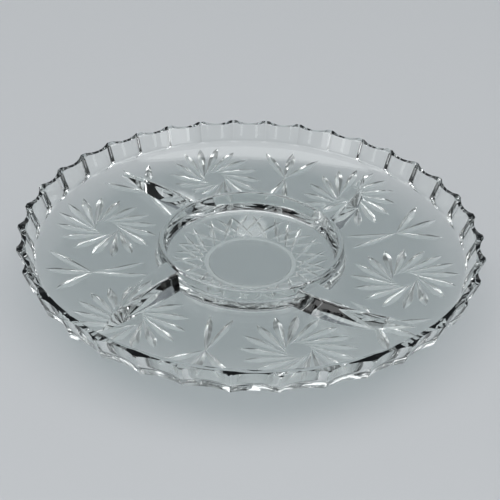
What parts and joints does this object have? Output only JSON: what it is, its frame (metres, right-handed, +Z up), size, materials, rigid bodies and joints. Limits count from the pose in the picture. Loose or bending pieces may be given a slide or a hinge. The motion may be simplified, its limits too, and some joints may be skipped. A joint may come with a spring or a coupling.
{
  "type": "relish tray",
  "caption": "Round clear crystal serving tray with a dished plate, a fluted rim, a collared centre well and curved dividers.",
  "frame": {"origin": "centre of the foot, on the table", "axes": "+Z up; +X through a pinwheel and beside the root of a divider"},
  "size_m": [0.305, 0.305, 0.037],
  "materials": {
    "crystal": "clear pressed and cut lead crystal, fire polished"
  },
  "bodies": {
    "root": {"plate": "crystal", "rim": "crystal", "well": "crystal", "collar": "crystal", "divider_1": "crystal", "divider_2": "crystal", "divider_3": "crystal", "divider_4": "crystal"}
  },
  "joints": []
}
